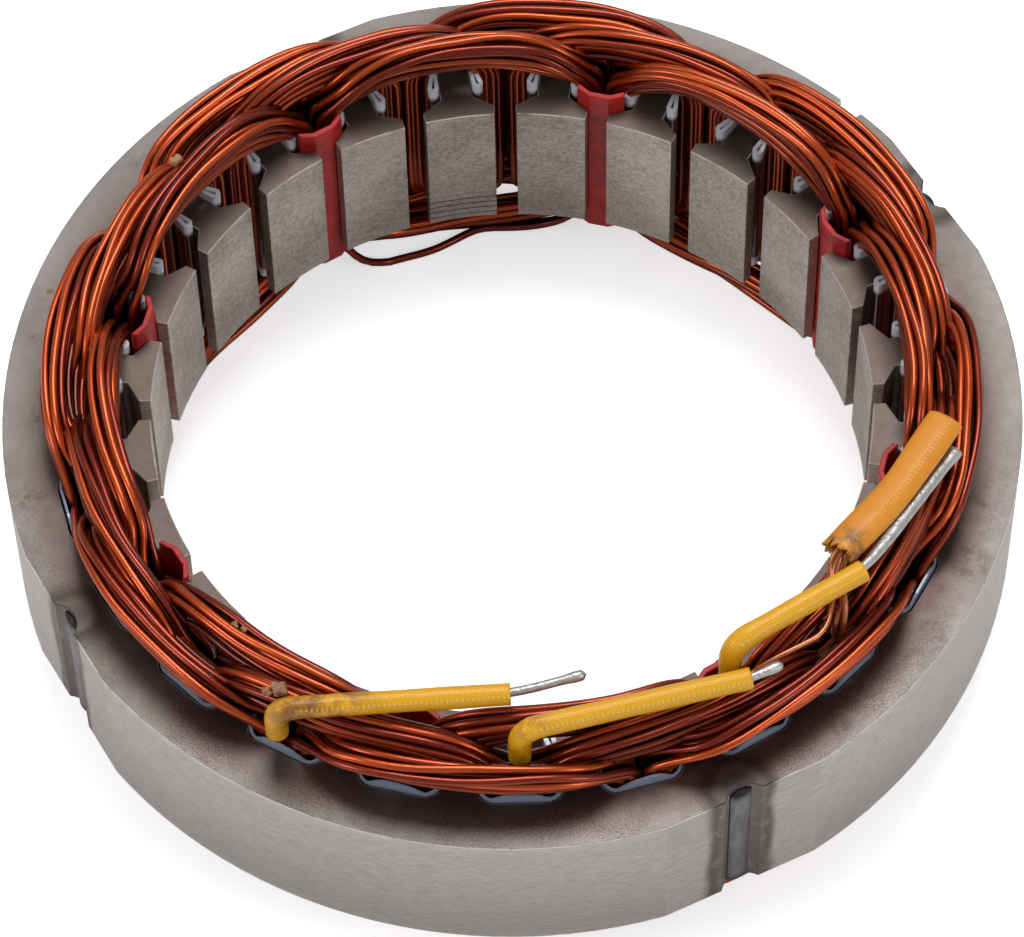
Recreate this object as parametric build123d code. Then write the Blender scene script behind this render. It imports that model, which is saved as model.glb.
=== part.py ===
from build123d import *
import os
from math import cos, radians, sin, tan

# Wound three-phase stator. Millimetres, Z along the bore, lead side up.
# The origin is on the bore axis, halfway up the lamination stack.

# Lamination stack
core_diameter = 127.0
bore_diameter = 90.0
stack_height = 22.0
slot_count = 24
slot_opening = 2.8
tip_thickness = 1.5
shoulder_depth = 1.5
tooth_width = 4.2
slot_depth = 12.3
slot_corner_radius = 2.0
cut_margin = 1.0

# Weld grooves and keyway in the rim
weld_angles = (29.3, 115.0, 208.9, 295.0)
weld_flat_half_angle = 9.25
groove_width = 5.0
groove_depth = 1.3
weld_gap = 0.05
weld_end_inset = 0.7
weld_bead_height = 0.9
keyway_angle = 45.1
keyway_mouth = 3.7
keyway_floor = 2.6
keyway_depth = 2.3

# Slot liners
liner_thickness = 0.3
liner_gap = 0.05
liner_proud = 1.3
curl_width = 1.35
curl_length = 2.8

# Slot wedges
wedge_thickness = 0.8
wedge_width = 6.2
wedge_gap = 0.1
wedge_proud = 3.0

# Windings
phase_count = 3
bundle_axial = 3.8
bundle_groove = 0.45
bundle_gap = 0.3
bundle_exit = 1.5
leg_side_gap = 0.58
leg_front_gap = 0.05
leg_back_gap = 0.75
coil_inner_gap = 0.2
coil_overhang = 1.5
coil_end_heights = (6.2, 6.7, 7.4)
first_slots = (15.0, 0.0, 30.0)
# A coil end's course from its slot: angle, share of its rise, lean from upright, and share
# of the way from its slot's middle to its own ring
bundle_course = (
    (2.6, 0.0, 40, 0.92),
    (4.2, 0.2, 58, 1.0),
    (10.4, 0.9, 80, 1.0),
    (17.6, 1.0, 90, 1.0),
)

# Leads: each rises from a slot, bends over and runs along the coil ends.
# A row is the slot's angle, the height of the bend, then the places of the sleeve's end and of
# the wire's end. A place is an angle, a distance out from the inner ring of coil ends, and a
# height above the highest of them.
lead_wire_diameter = 1.1
sleeve_diameter = 2.7
sleeve_bore = 1.6
lead_bend = 3.6
lead_root_height = 3.3
sleeve_root_height = 4.8
lead_facets = 10
leads = (
    (240.0, 0.8, (268.9, -1.4, 1.6), (279.8, -3.0, 1.6)),
    (270.0, 1.6, (300.0, 4.5, 1.6), (304.5, 5.0, 1.6)),
    (300.0, 2.9, (320.6, 3.2, 3.3), (344.6, 5.7, 0.0)),
)

# Neutral joint: three winding ends joined in a bar, under a flattened sleeve
neutral_sleeve_width = 4.5
neutral_sleeve_height = 2.2
neutral_sleeve_wall = 0.5
neutral_route = ((322.5, -0.2, 3.6), (334.0, 1.2, 2.9), (348.3, 4.0, 2.1))
neutral_bar_width = 2.9
neutral_bar_height = 0.95
neutral_bar_start = 1.0
neutral_bar_inset = 2.0
neutral_strand_lap = 0.4
neutral_strand_pitch = 0.8
neutral_strand_route = ((319.8, -0.5, 1.4), (316.6, 2.9, 1.0), (315.0, 3.6, -0.7))
neutral_root_angle = 315.0
neutral_root_height = 4.6

core_radius = core_diameter / 2
bore_radius = bore_diameter / 2
half_stack = stack_height / 2
slot_pitch = 360 / slot_count
slot_bottom_radius = bore_radius + slot_depth
tip_radius = bore_radius + tip_thickness
neck_radius = tip_radius + shoulder_depth
slots_per_phase = slot_count // phase_count
coil_pitch = slot_pitch * phase_count

# The wedges' wings lie along the sloping shoulders of the tooth tips
neck_half_width = neck_radius * tan(radians(slot_pitch / 2))
neck_half_width -= tooth_width / 2 / cos(radians(slot_pitch / 2))
wedge_slope = shoulder_depth / (neck_half_width - slot_opening / 2)
wedge_flat_half = slot_opening / 2 - wedge_gap
wedge_wing = (wedge_width / 2 - wedge_flat_half) * wedge_slope
wedge_back_radius = tip_radius + wedge_gap + wedge_wing + wedge_thickness

# Coil ends lie in three rings, from the wedges to a little way over the slots' backs
coil_end_start = wedge_back_radius + coil_inner_gap
coil_end_depth = slot_bottom_radius + coil_overhang - coil_end_start
bundle_radial = (coil_end_depth - (phase_count - 1) * bundle_gap) / phase_count
inner_lane = coil_end_start + bundle_radial / 2
lane_pitch = bundle_radial + bundle_gap
lane_radii = (inner_lane + 2 * lane_pitch, inner_lane + lane_pitch, inner_lane)
coil_end_top = max(coil_end_heights) + bundle_axial / 2

# In the slot the wires lie between the liner's back, its walls and its curled edges
curl_start = neck_radius + wedge_thickness
leg_start = curl_start + curl_length + leg_front_gap
leg_depth = slot_bottom_radius - liner_thickness - leg_back_gap - leg_start
leg_radius = leg_start + leg_depth / 2


def at_angle(angle, radius, z):
    return Vector(radius * cos(radians(angle)), radius * sin(radians(angle)), z)


def slot_half_width(radius):
    """Half the slot's width between parallel-sided teeth, at one distance from the axis."""
    half_pitch = radians(slot_pitch / 2)
    return radius * tan(half_pitch) - tooth_width / 2 / cos(half_pitch)


def leg_width():
    """The room for one coil's wires between the slot's middle and its liner."""
    lined = (liner_gap + liner_thickness) / cos(radians(slot_pitch / 2))
    return slot_half_width(leg_start) - lined - leg_side_gap


def slot_pocket(inset, rounded):
    """The slot behind the tooth tips, pointing along +X, with every wall moved in by inset."""
    back = slot_bottom_radius - inset
    wall = inset / cos(radians(slot_pitch / 2))
    neck_half = slot_half_width(neck_radius) - wall
    back_half = slot_half_width(back) - wall
    pocket = make_face(
        Polyline(
            (neck_radius, -neck_half),
            (back, -back_half),
            (back, back_half),
            (neck_radius, neck_half),
            close=True,
        )
    )
    corners = pocket.vertices().sort_by(Axis.X)[-2:]
    if rounded:
        return fillet(corners, slot_corner_radius)
    return chamfer(corners, slot_corner_radius - inset)


def slot_outline():
    """The whole slot: opening, sloping shoulders and pocket."""
    opening_half = slot_opening / 2
    neck_half = slot_half_width(neck_radius)
    mouth = make_face(
        Polyline(
            (bore_radius - cut_margin, -opening_half),
            (tip_radius, -opening_half),
            (neck_radius, -neck_half),
            (neck_radius, neck_half),
            (tip_radius, opening_half),
            (bore_radius - cut_margin, opening_half),
            close=True,
        )
    )
    return mouth + slot_pocket(0, True)


def groove_circle(shrink):
    """The round weld groove's circle, set so that it is groove_width wide at the flat."""
    flat_radius = core_radius * cos(radians(weld_flat_half_angle))
    radius = ((groove_width / 2) ** 2 + groove_depth**2) / (2 * groove_depth)
    centre = flat_radius - groove_depth + radius
    return Pos(centre, 0) * Circle(radius - shrink)


def weld_cut():
    """A flat across the rim with the round weld groove in its middle."""
    flat_radius = core_radius * cos(radians(weld_flat_half_angle))
    depth = core_radius - flat_radius
    flat = Pos(flat_radius + depth, 0) * Rectangle(2 * depth, core_radius)
    return flat + groove_circle(0)


def keyway_cut():
    floor_radius = core_radius - keyway_depth
    return make_face(
        Polyline(
            (floor_radius, -keyway_floor / 2),
            (core_radius + cut_margin, -keyway_mouth / 2),
            (core_radius + cut_margin, keyway_mouth / 2),
            (floor_radius, keyway_floor / 2),
            close=True,
        )
    )


def stator_core():
    """One lamination's outline, carried through the height of the stack."""
    outline = Circle(core_radius) - Circle(bore_radius)
    outline -= PolarLocations(0, slot_count) * slot_outline()
    for angle in weld_angles:
        outline -= Rot(0, 0, angle) * weld_cut()
    outline -= Rot(0, 0, keyway_angle) * keyway_cut()
    return Pos(0, 0, -half_stack) * extrude(outline, stack_height)


def weld_seam(angle):
    """A weld bead lying in its groove, with a bulging outer face."""
    flat_radius = core_radius * cos(radians(weld_flat_half_angle))
    bead_radius = groove_width / 2
    bead_centre = flat_radius - groove_depth + weld_bead_height - bead_radius
    bead = (Pos(bead_centre, 0) * Circle(bead_radius)) & groove_circle(weld_gap)
    length = stack_height - 2 * weld_end_inset
    return Rot(0, 0, angle) * Pos(0, 0, -length / 2) * extrude(bead, length)


def liner_curl():
    """A teardrop against the slot's wall, its blunt end towards the bore, and its hollow."""
    blunt = curl_width / 4
    teardrop = make_face(
        Polyline(
            (blunt, 0),
            (0, curl_width / 2),
            (blunt, curl_width),
            (3 * blunt, curl_width),
            (curl_length, liner_thickness),
            (curl_length, 0),
            close=True,
        )
    )
    hollow = offset(teardrop, -liner_thickness, kind=Kind.INTERSECTION)
    wall_gap = liner_gap / cos(radians(slot_pitch / 2))
    start = Pos(curl_start, wall_gap - slot_half_width(curl_start))
    return start * Rot(0, 0, -slot_pitch / 2) * (teardrop - hollow)


def slot_liner(angle):
    """A film folded into a channel, with both long edges curled back on themselves."""
    band = slot_pocket(liner_gap, False) - slot_pocket(liner_gap + liner_thickness, False)
    wall_start = curl_start + curl_length / 2
    keep = Pos(wall_start + slot_depth, 0) * Rectangle(2 * slot_depth, 2 * slot_depth)
    curl = liner_curl()
    section = (band & keep) + curl + mirror(curl, about=Plane.XZ)
    length = stack_height + 2 * liner_proud
    return Rot(0, 0, angle) * Pos(0, 0, -length / 2) * extrude(section, length)


def slot_wedge(angle):
    """A creased fibre strip behind the tooth tips, standing proud of both faces."""
    face = tip_radius + wedge_gap
    section = make_face(
        Polyline(
            (face, -wedge_flat_half),
            (face, wedge_flat_half),
            (face + wedge_wing, wedge_width / 2),
            (wedge_back_radius, wedge_width / 2),
            (face + wedge_thickness, wedge_flat_half),
            (face + wedge_thickness, -wedge_flat_half),
            (wedge_back_radius, -wedge_width / 2),
            (face + wedge_wing, -wedge_width / 2),
            close=True,
        )
    )
    length = stack_height + 2 * wedge_proud
    return Rot(0, 0, angle) * Pos(0, 0, -length / 2) * extrude(section, length)


def bundle_ring(plane, radial, axial, groove):
    """A bundle's outline: ridges where wires lie on its upper side, grooves between them."""
    w = radial / 2
    h = axial / 2
    points = [
        (-w, -h),
        (-w / 2, -h + groove),
        (0, -h),
        (w / 2, -h + groove),
        (w, -h),
        (w, h),
        (-w, h),
    ]
    return [plane.from_local_coords(point) for point in points]


def flat_face(points):
    return Face(Wire.make_polygon(points))


def faceted_solid(rings):
    """A solid through rings of points: flat ends, and sides of flat triangles."""
    faces = [flat_face(rings[0]), flat_face(rings[-1])]
    for near, far in zip(rings, rings[1:]):
        for number, corner in enumerate(near):
            faces.append(flat_face([corner, near[number - 1], far[number - 1]]))
            faces.append(flat_face([corner, far[number - 1], far[number]]))
    return Solid(Shell(faces))


def leg_ring():
    """One coil's wires where they leave the top of a slot, flat on the slot's middle."""
    origin = Vector(leg_radius, leg_width() / 2, half_stack + liner_proud)
    plane = Plane(origin=origin, x_dir=(1, 0, 0), z_dir=(0, 0, 1))
    return bundle_ring(plane, leg_depth, leg_width(), 0)


def slot_legs():
    """The wires of two neighbouring coils, filling one slot side by side."""
    outline = flat_face(leg_ring())
    both = outline + mirror(outline, about=Plane.XZ)
    return extrude(both, 2 * (half_stack + liner_proud), dir=(0, 0, -1))


def bundle_rings(lane, height):
    """Outlines along a coil end, from its slot to near its mid-span."""
    exit_height = liner_proud + bundle_exit
    rings = [leg_ring()]
    for angle, rise, lean, shift in bundle_course:
        around = at_angle(angle + 90, 1, 0)
        along = around * sin(radians(lean)) + Vector(0, 0, cos(radians(lean)))
        radius = leg_radius + shift * (lane - leg_radius)
        radial = leg_depth + shift * (bundle_radial - leg_depth)
        z = half_stack + exit_height + rise * (height - exit_height)
        plane = Plane(origin=at_angle(angle, radius, z), x_dir=at_angle(angle, 1, 0), z_dir=along)
        rings.append(bundle_ring(plane, radial, bundle_axial, bundle_groove))
    return rings


def winding_span(lane, height):
    """A coil end: out of one slot, along the ring and down into the phase's next slot."""
    middle = Plane(origin=(0, 0, 0), z_dir=at_angle(coil_pitch / 2 + 90, 1, 0))
    rings = bundle_rings(lane, height)
    half = faceted_solid(rings)
    across = [point - middle.z_dir * (2 * point.dot(middle.z_dir)) for point in rings[-1]]
    return half, mirror(half, about=middle), faceted_solid([rings[-1], across])


def phase_winding(phase):
    """Eight coils of one phase, side by side in their slots, joined along their legs."""
    upper = winding_span(lane_radii[phase], coil_end_heights[phase])
    pieces = [slot_legs(), *upper, *[mirror(piece, about=Plane.XY) for piece in upper]]
    turned = []
    for number in range(slots_per_phase):
        turn = Rot(0, 0, first_slots[phase] + coil_pitch * number)
        turned += [turn * piece for piece in pieces]
    return turned[0].fuse(*turned[1:])


def over_coils(place):
    """A point from an angle, a distance out from the inner coil ends and a height over them."""
    angle, outwards, height = place
    return at_angle(angle, inner_lane + outwards, half_stack + coil_end_top + height)


def bent_tube(section, points):
    """A section carried along straight runs with mitred corners."""
    start = Plane(origin=points[0], z_dir=points[1] - points[0])
    return sweep(start * section, path=Polyline(*points), transition=Transition.RIGHT)


def lead_points(lead, root_height, end):
    """The lead's course: up from the slot's middle, round a bend, and straight to its end."""
    slot_angle, bend_height, sleeve_end, wire_end = lead
    lane = lane_radii[lead_phase(slot_angle)]
    root = at_angle(slot_angle, lane, half_stack + root_height)
    corner = at_angle(slot_angle, lane, half_stack + coil_end_top + bend_height)
    ahead = (over_coils(sleeve_end) - corner).normalized()
    before = corner - Vector(0, 0, lead_bend)
    after = corner + ahead * lead_bend
    middle = (before + corner * 2 + after) / 4
    points = [root, before, middle, after, over_coils(sleeve_end)]
    if end == "wire":
        points.append(over_coils(wire_end))
    return points


def lead_phase(slot_angle):
    """Which phase lies in the slot at an angle."""
    offsets = [(slot_angle - first) % coil_pitch for first in first_slots]
    return offsets.index(0)


def lead_wire(lead):
    section = RegularPolygon(lead_wire_diameter / 2, lead_facets)
    return bent_tube(section, lead_points(lead, lead_root_height, "wire"))


def lead_sleeve(lead):
    outside = RegularPolygon(sleeve_diameter / 2, lead_facets)
    section = outside - RegularPolygon(sleeve_bore / 2, lead_facets)
    return bent_tube(section, lead_points(lead, sleeve_root_height, "sleeve"))


def flat_outline(width, height):
    """An octagon as wide and as high as given, its corners cut by a third of the height."""
    cut = height / 3
    return chamfer(Rectangle(width, height).vertices(), cut)


def flat_tube(points, width, height):
    """A flattened section carried along points, its wide side level."""
    sections = []
    for number, point in enumerate(points):
        ahead = points[min(number + 1, len(points) - 1)]
        behind = points[max(number - 1, 0)]
        along = (ahead - behind).normalized()
        across = along.cross(Vector(0, 0, 1)).normalized()
        plane = Plane(origin=point, x_dir=across, z_dir=along)
        sections.append(plane * flat_outline(width, height))
    return loft(sections, ruled=True)


def neutral_sleeve():
    points = [over_coils(place) for place in neutral_route]
    outside = flat_tube(points, neutral_sleeve_width, neutral_sleeve_height)
    bore_width = neutral_sleeve_width - 2 * neutral_sleeve_wall
    bore_height = neutral_sleeve_height - 2 * neutral_sleeve_wall
    return outside - flat_tube(points, bore_width, bore_height)


def neutral_joint():
    """The soldered bar inside the sleeve, and the three winding ends that run into it."""
    points = [over_coils(place) for place in neutral_route]
    outwards = (points[0] - points[1]).normalized()
    inwards = (points[-2] - points[-1]).normalized()
    level = outwards.cross(Vector(0, 0, 1)).normalized()
    bar_end = points[0] + outwards * neutral_bar_start
    bar_points = [bar_end, points[1], points[-1] + inwards * neutral_bar_inset]
    joint = flat_tube(bar_points, neutral_bar_width, neutral_bar_height)
    lane = lane_radii[lead_phase(neutral_root_angle)]
    wire = RegularPolygon(lead_wire_diameter / 2, lead_facets)
    for side in (-1, 0, 1):
        aside = side * lead_wire_diameter
        lap = outwards * neutral_strand_lap + level * (side * neutral_strand_pitch)
        route = [bar_end - lap]
        for angle, distance, height in neutral_strand_route:
            route.append(over_coils((angle, distance + aside, height)))
        root_height = half_stack + neutral_root_height
        route.append(at_angle(neutral_root_angle, lane + aside, root_height))
        joint += bent_tube(wire, route)
    return joint


parts = {}
parts["stator_core"] = stator_core()
for number, angle in enumerate(weld_angles, 1):
    parts[f"weld_seam_{number}"] = weld_seam(angle)
for number in range(slot_count):
    parts[f"slot_liner_{number + 1:02d}"] = slot_liner(number * slot_pitch)
for number in range(slots_per_phase):
    parts[f"slot_wedge_{number + 1}"] = slot_wedge(first_slots[2] + number * coil_pitch)
for phase in range(phase_count):
    parts[f"phase_{phase + 1}_winding"] = phase_winding(phase)
for number, lead in enumerate(leads, 1):
    parts[f"lead_wire_{number}"] = lead_wire(lead)
    parts[f"lead_sleeve_{number}"] = lead_sleeve(lead)
parts["neutral_sleeve"] = neutral_sleeve()
parts["neutral_joint"] = neutral_joint()

os.makedirs("parts", exist_ok=True)
for name, shape in parts.items():
    export_step(shape, f"parts/{name}.step")
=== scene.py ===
from math import cos, pi, radians, sin, tan

import bpy
import numpy as np
from mathutils import Matrix, Vector


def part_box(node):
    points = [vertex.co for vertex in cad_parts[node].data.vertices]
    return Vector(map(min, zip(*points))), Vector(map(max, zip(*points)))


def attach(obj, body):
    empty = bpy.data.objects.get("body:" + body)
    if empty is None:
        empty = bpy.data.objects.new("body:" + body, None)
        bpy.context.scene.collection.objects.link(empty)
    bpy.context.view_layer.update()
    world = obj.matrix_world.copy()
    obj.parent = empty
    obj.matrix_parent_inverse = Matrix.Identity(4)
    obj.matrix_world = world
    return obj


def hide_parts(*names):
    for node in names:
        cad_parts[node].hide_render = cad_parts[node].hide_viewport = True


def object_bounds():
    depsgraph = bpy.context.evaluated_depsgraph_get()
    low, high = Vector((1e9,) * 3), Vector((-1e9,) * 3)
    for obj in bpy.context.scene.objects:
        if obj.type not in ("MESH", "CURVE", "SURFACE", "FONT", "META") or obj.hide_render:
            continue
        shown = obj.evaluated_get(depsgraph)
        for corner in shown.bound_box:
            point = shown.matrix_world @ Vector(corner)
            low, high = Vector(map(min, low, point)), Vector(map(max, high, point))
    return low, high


# Wound stator: a welded ring of laminations with 24 slots, three windings in layers, film
# liners, red wedges, three sleeved leads and a sleeved neutral joint. Metres, Z along the
# bore, lead side up.

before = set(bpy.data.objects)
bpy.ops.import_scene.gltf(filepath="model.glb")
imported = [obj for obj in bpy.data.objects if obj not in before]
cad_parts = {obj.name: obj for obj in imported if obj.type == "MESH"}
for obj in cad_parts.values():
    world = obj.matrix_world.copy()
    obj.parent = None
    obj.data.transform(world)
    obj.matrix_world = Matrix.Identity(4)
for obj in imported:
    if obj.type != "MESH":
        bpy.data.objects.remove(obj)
cad_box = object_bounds()
MM = 0.001


# Camera: a long lens above the near side, at the photograph's angle and with its slight roll.
camera_distance = 623.1 * MM
camera_elevation = radians(55.953)
camera_roll = radians(-1.314)
aim_point = np.array([-0.17, -9.93, 11.0]) * MM
lead_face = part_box("stator_core")[1][2]

eye_height = lead_face + camera_distance * sin(camera_elevation)
eye = Vector((0, -camera_distance * cos(camera_elevation), eye_height))
forward = (Vector(aim_point) - eye).normalized()
level = forward.cross(Vector((0, 0, 1))).normalized()
upward = level.cross(forward)
right = level * cos(camera_roll) + upward * sin(camera_roll)
up = upward * cos(camera_roll) - level * sin(camera_roll)
camera_data = bpy.data.cameras.new("camera")
camera_data.sensor_width = 36
camera_data.lens = 175.85
camera_data.clip_start = 0.01
camera = bpy.data.objects.new("camera", camera_data)
camera.matrix_world = Matrix.Translation(eye) @ Matrix((right, up, -forward)).transposed().to_4x4()
bpy.context.collection.objects.link(camera)
bpy.context.scene.camera = camera
bpy.context.scene.view_settings.view_transform = "Standard"


# Studio: a white table and world, one broad lamp overhead and two softer ones at the sides.
# The world shows white to the camera and shines dimmer on the object, and the table glows a
# little to the camera alone, so that the background is white.
def soft_lamp(name, place, size, power):
    """A square area lamp at a place, turned to the origin."""
    data = bpy.data.lights.new(name, "AREA")
    data.size = size
    data.energy = power
    lamp = bpy.data.objects.new(name, data)
    lamp.location = place
    lamp.rotation_euler = (-Vector(place)).to_track_quat("-Z", "Y").to_euler()
    bpy.context.collection.objects.link(lamp)


soft_lamp("lamp_over", (0.05, 0.3, 0.75), 0.4, 3.6)
soft_lamp("lamp_left", (-0.7, -0.25, 0.5), 0.3, 1.8)
soft_lamp("lamp_right", (0.65, -0.45, 0.45), 0.3, 1.5)

world = bpy.data.worlds.new("studio")
bpy.context.scene.world = world
world.use_nodes = True
tree = world.node_tree
tree.nodes.clear()
ray = tree.nodes.new("ShaderNodeLightPath")
dim = tree.nodes.new("ShaderNodeBackground")
dim.inputs["Color"].default_value = (1, 1, 1, 1)
dim.inputs["Strength"].default_value = 0.42
white = tree.nodes.new("ShaderNodeBackground")
white.inputs["Color"].default_value = (1, 1, 1, 1)
white.inputs["Strength"].default_value = 1.0
choose = tree.nodes.new("ShaderNodeMixShader")
out = tree.nodes.new("ShaderNodeOutputWorld")
tree.links.new(ray.outputs["Is Camera Ray"], choose.inputs[0])
tree.links.new(dim.outputs[0], choose.inputs[1])
tree.links.new(white.outputs[0], choose.inputs[2])
tree.links.new(choose.outputs[0], out.inputs["Surface"])

floor_half = 2.0
floor_level = cad_box[0][2]
floor_mesh = bpy.data.meshes.new("floor")
quarters = ((-1, -1), (1, -1), (1, 1), (-1, 1))
floor_corners = [(x * floor_half, y * floor_half, floor_level) for x, y in quarters]
floor_mesh.from_pydata(floor_corners, [], [(0, 1, 2, 3)])
floor = bpy.data.objects.new("floor", floor_mesh)
bpy.context.collection.objects.link(floor)
floor_material = bpy.data.materials.new("white_table")
floor_material.use_nodes = True
floor_tree = floor_material.node_tree
floor_shader = floor_tree.nodes["Principled BSDF"]
floor_shader.inputs["Base Color"].default_value = (0.93, 0.93, 0.93, 1)
floor_shader.inputs["Roughness"].default_value = 0.8
floor_ray = floor_tree.nodes.new("ShaderNodeLightPath")
glow = floor_tree.nodes.new("ShaderNodeMath")
glow.operation = "MULTIPLY"
glow.inputs[1].default_value = 0.6
floor_tree.links.new(floor_ray.outputs["Is Camera Ray"], glow.inputs[0])
floor_tree.links.new(glow.outputs[0], floor_shader.inputs["Emission Strength"])
floor_shader.inputs["Emission Color"].default_value = (1, 1, 1, 1)
floor_mesh.materials.append(floor_material)


# Stator core: about twenty steel laminations, welded into one block and ground on the rim and
# in the bore. The solid is kept in form: a merged copy gets fine worn edges and smooth curves.
# Shader graph helpers come first, since this is the first finish that needs them.
class Finish:
    """A material whose pattern nodes are wired to one principled shader."""

    def __init__(self, name, rough, metal):
        self.material = bpy.data.materials.new(name)
        self.material.use_nodes = True
        self.tree = self.material.node_tree
        self.shader = self.tree.nodes["Principled BSDF"]
        self.shader.inputs["Roughness"].default_value = rough
        self.shader.inputs["Metallic"].default_value = metal
        self.place = self.tree.nodes.new("ShaderNodeTexCoord").outputs["Object"]

    def feed(self, socket, value):
        """A number or colour is set on the socket, and an output is linked to it."""
        if isinstance(value, bpy.types.NodeSocket):
            self.tree.links.new(value, socket)
        else:
            socket.default_value = value

    def node(self, kind, output, settings=(), **inputs):
        """A node with its settings and inputs, returning the named output.

        Inputs are named with _ for a space, or numbered as i0 and i1.
        """
        node = self.tree.nodes.new(kind)
        for key, value in dict(settings).items():
            setattr(node, key, value)
        for key, value in inputs.items():
            name = int(key[1:]) if key in ("i0", "i1") else key.replace("_", " ")
            self.feed(node.inputs[name], value)
        return node.outputs[output]

    def scaled(self, x, y, z):
        """Object coordinates stretched by a factor along each axis."""
        return self.node("ShaderNodeMapping", "Vector", Vector=self.place, Scale=(x, y, z))

    def noise(self, scale, detail, rough, vector=None):
        """Fractal noise from 0 to 1; scale counts blotches to the metre."""
        where = vector or self.place
        return self.node(
            "ShaderNodeTexNoise", "Fac", Vector=where, Scale=scale, Detail=detail, Roughness=rough
        )

    def ramp(self, value, low, high):
        """0 below low, 1 above high, and smooth between."""
        return self.node(
            "ShaderNodeMapRange",
            "Result",
            {"interpolation_type": "SMOOTHSTEP"},
            Value=value,
            From_Min=low,
            From_Max=high,
        )

    def math(self, operation, first, second=0.0):
        """One arithmetic step."""
        return self.node("ShaderNodeMath", 0, {"operation": operation}, i0=first, i1=second)

    def times(self, first, *others):
        """The product of two or more numbers."""
        for other in others:
            first = self.math("MULTIPLY", first, other)
        return first

    def distance(self, vector, point):
        """How far a vector is from a fixed point."""
        return self.node("ShaderNodeVectorMath", 1, {"operation": "DISTANCE"}, i0=vector, i1=point)

    def part_of(self, vector, axis):
        """One coordinate of a vector: 0 for x, 1 for y, 2 for z."""
        return self.node("ShaderNodeSeparateXYZ", axis, Vector=vector)

    def mix(self, share, first, second):
        """A colour between two, by share."""
        node = self.tree.nodes.new("ShaderNodeMix")
        node.data_type = "RGBA"
        self.feed(node.inputs[0], share)
        self.feed(node.inputs[6], first)
        self.feed(node.inputs[7], second)
        return node.outputs[2]

    def bump(self, height, strength, distance):
        """Relief from a height, in metres of distance."""
        normal = self.node(
            "ShaderNodeBump", "Normal", Height=height, Strength=strength, Distance=distance
        )
        self.tree.links.new(normal, self.shader.inputs["Normal"])


def edit_whole(piece):
    """Select one piece and open its whole mesh for editing."""
    bpy.context.view_layer.objects.active = piece
    bpy.ops.object.select_all(action="DESELECT")
    piece.select_set(True)
    bpy.ops.object.mode_set(mode="EDIT")
    bpy.ops.mesh.select_all(action="SELECT")


def add_piece(mesh, name, replaced):
    """A finished mesh joins the object and stands for its solid, if it has one."""
    piece = bpy.data.objects.new(name, mesh)
    bpy.context.collection.objects.link(piece)
    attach(piece, "root")
    if replaced:
        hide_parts(*replaced)
    return piece


def merged_copy(node, name, edge):
    """A solid's own mesh, merged, bevelled by edge and smooth over gentle turns."""
    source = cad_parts[node]
    piece = source.copy()
    piece.data = source.data.copy()
    piece.name = name
    piece.data.name = name
    bpy.context.collection.objects.link(piece)
    piece.data.materials.clear()
    edit_whole(piece)
    bpy.ops.mesh.remove_doubles(threshold=1e-6)
    bpy.ops.mesh.dissolve_limited(angle_limit=radians(0.5))
    bpy.ops.object.mode_set(mode="OBJECT")
    bevel = piece.modifiers.new("worn_edges", "BEVEL")
    bevel.width = edge
    bevel.segments = 2
    bevel.limit_method = "ANGLE"
    bevel.angle_limit = radians(35)
    bevel.use_clamp_overlap = True
    bpy.ops.object.shade_auto_smooth(angle=radians(25))
    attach(piece, "root")
    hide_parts(node)
    return piece


core = merged_copy("stator_core", "laminated_core", 0.12 * MM)

steel = Finish("lamination_steel", 0.4, 0.8)
facing = steel.part_of(steel.node("ShaderNodeTexCoord", "Normal"), 2)
tilt = steel.math("ABSOLUTE", facing)
is_face = steel.ramp(tilt, 0.6, 0.8)
height_here = steel.part_of(steel.place, 2)
flat_place = steel.scaled(1.0, 1.0, 0.0)
radius_here = steel.distance(flat_place, (0.0, 0.0, 0.0))
grind = steel.noise(600.0, 5.0, 0.75, steel.scaled(1.0, 1.0, 7.0))
cloud = steel.noise(55.0, 4.0, 0.6)
speck = steel.noise(5200.0, 3.0, 0.8)
stain_cloud = steel.noise(75.0, 3.0, 0.6, steel.scaled(1.0, 1.0, 0.4))
stain_grain = steel.noise(480.0, 5.0, 0.7)

# The rim is ground bright. The bore is scratched and grainy, with painted shade that makes it
# darker, most of all on the tooth that faces the camera squarely, and painted light that makes the
# teeth away from it lighter.
rim_colour = steel.mix(
    steel.ramp(grind, 0.3, 0.7), (0.34, 0.315, 0.302, 1), (0.52, 0.485, 0.47, 1)
)
scratch = steel.noise(500.0, 5.0, 0.8, steel.scaled(1.0, 1.0, 14.0))
grain = steel.noise(1700.0, 4.0, 0.85)
bore_wear = steel.math("ADD", steel.times(scratch, 0.3), steel.times(cloud, 0.3))
bore_wear = steel.math("ADD", bore_wear, steel.times(grain, 0.4))
bore_share = steel.ramp(bore_wear, 0.38, 0.62)
painted_shade_bore = steel.mix(bore_share, (0.19, 0.16, 0.14, 1), (0.50, 0.44, 0.39, 1))
painted_light_bore = steel.mix(bore_share, (0.26, 0.225, 0.20, 1), (0.68, 0.61, 0.55, 1))
bore_radius = 45.0 * MM
shaded_tooth = radians(97.5)
tooth_place = (bore_radius * cos(shaded_tooth), bore_radius * sin(shaded_tooth), 0.0)
from_tooth = steel.distance(flat_place, tooth_place)
# Painted light: the bore's colour grows lighter with distance from the tooth that faces the
# camera.
painted_light_share = steel.times(steel.ramp(from_tooth, 8.0 * MM, 24.0 * MM), 0.8)
bore_colour = steel.mix(painted_light_share, painted_shade_bore, painted_light_bore)

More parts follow.
